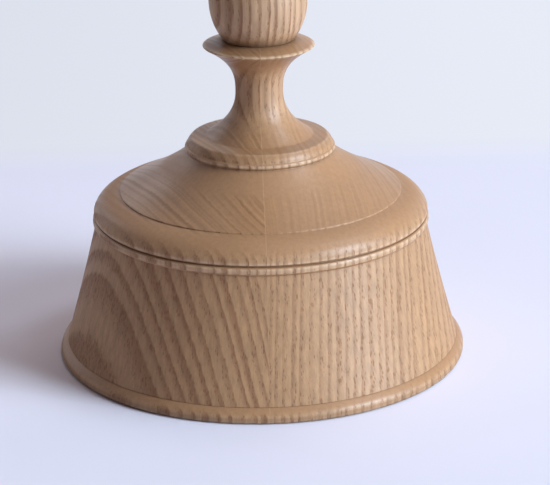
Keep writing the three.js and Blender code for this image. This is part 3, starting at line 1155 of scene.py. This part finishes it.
def cup_outline(stand):
    cup = stand.cup
    liner = stand.liner
    bore = stand.turning.bore / 2
    base = cup_low.z
    socket = liner.candle / 2 + liner.play + liner.wall + cup.play
    wall = socket + cup.wall
    cord = cup_high.z - cup.lip_height - cup.cord_height
    outline = Outline(0, base + cup.bore_depth, stand.turning.arc_steps)
    outline.line(bore, base + cup.bore_depth)
    outline.line(bore, base)
    outline.line(cup.foot / 2, base)
    outline.quarter("flat", wall, base + cup.floor)
    outline.bow(wall, cord, -cup.waist)
    outline.bead(cup.cord_height, cup.cord_proud)
    outline.line(wall + cup.cord_proud, cup_high.z)
    outline.line(socket, cup_high.z)
    outline.line(socket, base + cup.floor)
    outline.line(0, base + cup.floor)
    return outline


def liner_outline(stand):
    liner = stand.liner
    inner = liner.candle / 2 + liner.play
    outer = inner + liner.wall
    flange = liner_high.x
    base = liner_low.z
    top = liner_high.z
    under = top - liner.flange
    edge = liner.flange / 2
    outline = Outline(0, base, stand.turning.arc_steps)
    outline.line(outer, base)
    outline.line(outer, under)
    outline.line(flange - edge / 2, under)
    outline.line(flange, under + edge)
    outline.line(flange - edge / 2, top)
    outline.line(inner + edge, top)
    outline.line(inner, top - edge)
    outline.line(inner, base + liner.wall)
    outline.line(0, base + liner.wall)
    return outline


# Operators

def seat(made, node, slot, material):
    """The piece takes its node's place on the stand, and its finish."""
    made.data.materials.append(material)
    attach(made, "root")
    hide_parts(node)


class TurnFoot(Operator):
    """Turns the foot from its two glued boards"""

    bl_idname = "candle_stand.turn_foot"
    bl_label = "Turn the foot"

    def execute(self, context):
        stand = context.scene.candle_stand
        outline = foot_outline(stand)
        boards = (("left", -1, stand.left_grain), ("right", 1, stand.right_grain))
        for hand, side, grain in boards:
            made = turned(f"foot_{hand}_board_turned", outline, stand.turning, side)
            finish = ash(f"ash_{hand}_board", grain, stand.ash, True)
            seat(made, f"foot_{hand}_board", f"ash_{hand}_board", finish)
        return {"FINISHED"}


class TurnStem(Operator):
    """Turns the ball, the baluster stem, the drip pan and the candle cup from one blank"""

    bl_idname = "candle_stand.turn_stem"
    bl_label = "Turn the stem"

    def execute(self, context):
        stand = context.scene.candle_stand
        finish = ash("ash_stem", stand.stem_grain, stand.ash, False)
        outlines = {
            "ball_knop": ball_outline,
            "baluster_stem": stem_outline,
            "drip_pan": pan_outline,
            "candle_cup": cup_outline,
        }
        for node, outline in outlines.items():
            made = turned(f"{node}_turned", outline(stand), stand.turning)
            seat(made, node, "ash_stem", finish)
        return {"FINISHED"}


class SpinLiner(Operator):
    """Spins the brass liner of the candle socket"""

    bl_idname = "candle_stand.spin_liner"
    bl_label = "Spin the brass liner"

    def execute(self, context):
        stand = context.scene.candle_stand
        made = turned("candle_socket_liner_spun", liner_outline(stand), stand.turning)
        seat(made, "candle_socket_liner", "socket_brass", brass("socket_brass", stand.metal))
        return {"FINISHED"}


class CutDowels(Operator):
    """Cuts the two fluted dowels"""

    bl_idname = "candle_stand.cut_dowels"
    bl_label = "Cut the dowels"

    def execute(self, context):
        stand = context.scene.candle_stand
        finish = beech("beech_dowel", stand.dowel_grain)
        for node in ("lower_dowel", "upper_dowel"):
            low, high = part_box(node)
            made = fluted(f"{node}_fluted", low.z, high.z, stand.dowel)
            seat(made, node, "beech_dowel", finish)
        return {"FINISHED"}


class LayBaize(Operator):
    """Lays the baize in the recess under the foot"""

    bl_idname = "candle_stand.lay_baize"
    bl_label = "Lay the baize"

    def execute(self, context):
        stand = context.scene.candle_stand
        radius = baize_high.x
        made = felted("baize_pad_felted", baize_low.z, baize_high.z, radius, stand.baize)
        seat(made, "baize_pad", "green_baize", felt("green_baize", stand.baize))
        return {"FINISHED"}


# The studio, in metres
LAMP_DISTANCE = 2.4
FLOOR_REACH = 1.5
FLOOR_CELLS = 24
NEAREST_SEEN = 0.05


def lamp(name, power, tint, azimuth, elevation, size):
    """A soft lamp that faces the stand. In degrees, azimuth 0 is in front and 90 at the right."""
    data = bpy.data.lights.new(name, "AREA")
    data.shape = "RECTANGLE"
    data.size, data.size_y = size
    data.energy = power
    data.color = tint
    made = bpy.data.objects.new(name, data)
    turn = math.radians(azimuth)
    rise = math.radians(elevation)
    level = math.cos(rise)
    toward = Vector((math.sin(turn) * level, -math.cos(turn) * level, math.sin(rise)))
    made.location = Vector((0, 0, foot_high.z / 2)) + toward * LAMP_DISTANCE
    made.rotation_mode = "QUATERNION"
    made.rotation_quaternion = toward.to_track_quat("Z", "Y")
    bpy.context.scene.collection.objects.link(made)
    return made


def studio(stage):
    """A world that lights evenly from all round and shows the background behind the floor."""
    world = Finish("studio", bpy.data.worlds.new("studio"))
    ambient = world.node(
        "ShaderNodeBackground", {"Color": stage.ambient_color[:], "Strength": stage.ambient}
    )
    behind = world.node("ShaderNodeBackground", {"Color": stage.background[:], "Strength": 1.0})
    both = world.mix_shaders(backdrop_rays(world), ambient, behind)
    world.node("ShaderNodeOutputWorld", {"Surface": both})
    return world.material


def camera_at(stage):
    """The camera, in front of the stand and above it."""
    data = bpy.data.cameras.new("camera")
    data.lens = stage.lens
    data.clip_start = NEAREST_SEEN
    made = bpy.data.objects.new("camera", data)
    made.location = Matrix.Rotation(-stage.turn, 3, "Z") @ Vector((0, -stage.reach, stage.height))
    aim = (
        Matrix.Rotation(-stage.turn - stage.yaw, 3, "Z")
        @ Matrix.Rotation(math.pi / 2 - stage.pitch, 3, "X")
        @ Matrix.Rotation(stage.roll, 3, "Z")
    )
    made.rotation_euler = aim.to_euler()
    bpy.context.scene.collection.objects.link(made)
    return made


class SetStage(Operator):
    """Sets up the floor, the lamps, the background and the camera"""

    bl_idname = "candle_stand.set_stage"
    bl_label = "Set the stage"

    def execute(self, context):
        stage = context.scene.candle_stand.stage
        solid = bmesh.new()
        bmesh.ops.create_grid(
            solid, x_segments=FLOOR_CELLS, y_segments=FLOOR_CELLS, size=FLOOR_REACH
        )
        floor = object_from("floor", solid)
        floor.data.materials.append(floor_finish("pale_floor", stage))
        lamp("window_light", stage.window, stage.daylight, 62, 18, (1.0, 1.6))
        lamp("sky_light", stage.sky, stage.daylight, 67, 40, (0.8, 0.4))
        lamp("high_light", stage.high, stage.daylight, 100, 58, (0.6, 0.6))
        lamp("back_light", stage.back, stage.back_color, 214, 27, (0.9, 0.7))
        fill = lamp("fill_light", stage.fill, stage.back_color, 152, 66, (1.2, 1.2))
        fill.visible_glossy = False
        context.scene.world = studio(stage)
        context.scene.view_settings.view_transform = "Standard"
        context.scene.camera = camera_at(stage)
        return {"FINISHED"}


class CandleStandPanel(Panel):
    """Lists the operators that make the candle stand"""

    bl_idname = "VIEW3D_PT_candle_stand"
    bl_label = "Candle stand"
    bl_space_type = "VIEW_3D"
    bl_region_type = "UI"
    bl_category = "Candle stand"

    def draw(self, context):
        for operator in OPERATORS:
            self.layout.operator(operator.bl_idname)
        stand = context.scene.candle_stand
        for group in stand.bl_rna.properties:
            if group.type == "POINTER" and group.identifier != "rna_type":
                settings = getattr(stand, group.identifier)
                box = self.layout.box()
                box.label(text=group.identifier.replace("_", " ").capitalize())
                for value in settings.bl_rna.properties:
                    if value.identifier not in ("rna_type", "name"):
                        box.prop(settings, value.identifier)


OPERATORS = (TurnFoot, TurnStem, SpinLiner, CutDowels, LayBaize, SetStage)
SETTINGS = (
    TurningSettings,
    FootSettings,
    CollarSettings,
    StemSettings,
    PanSettings,
    CupSettings,
    LinerSettings,
    DowelSettings,
    BaizeSettings,
    LeftBoardGrain,
    RightBoardGrain,
    StemGrain,
    AshSettings,
    MetalSettings,
    DowelGrain,
    StageSettings,
    CandleStandSettings,
)
CLASSES = (*SETTINGS, *OPERATORS, CandleStandPanel)


def register():
    for kind in CLASSES:
        bpy.utils.register_class(kind)
    bpy.types.Scene.candle_stand = PointerProperty(type=CandleStandSettings)


def unregister():
    del bpy.types.Scene.candle_stand
    for kind in reversed(CLASSES):
        bpy.utils.unregister_class(kind)


def main():
    register()
    for operator in OPERATORS:
        group, name = operator.bl_idname.split(".")
        getattr(getattr(bpy.ops, group), name)()


if __name__ == "__main__":
    main()
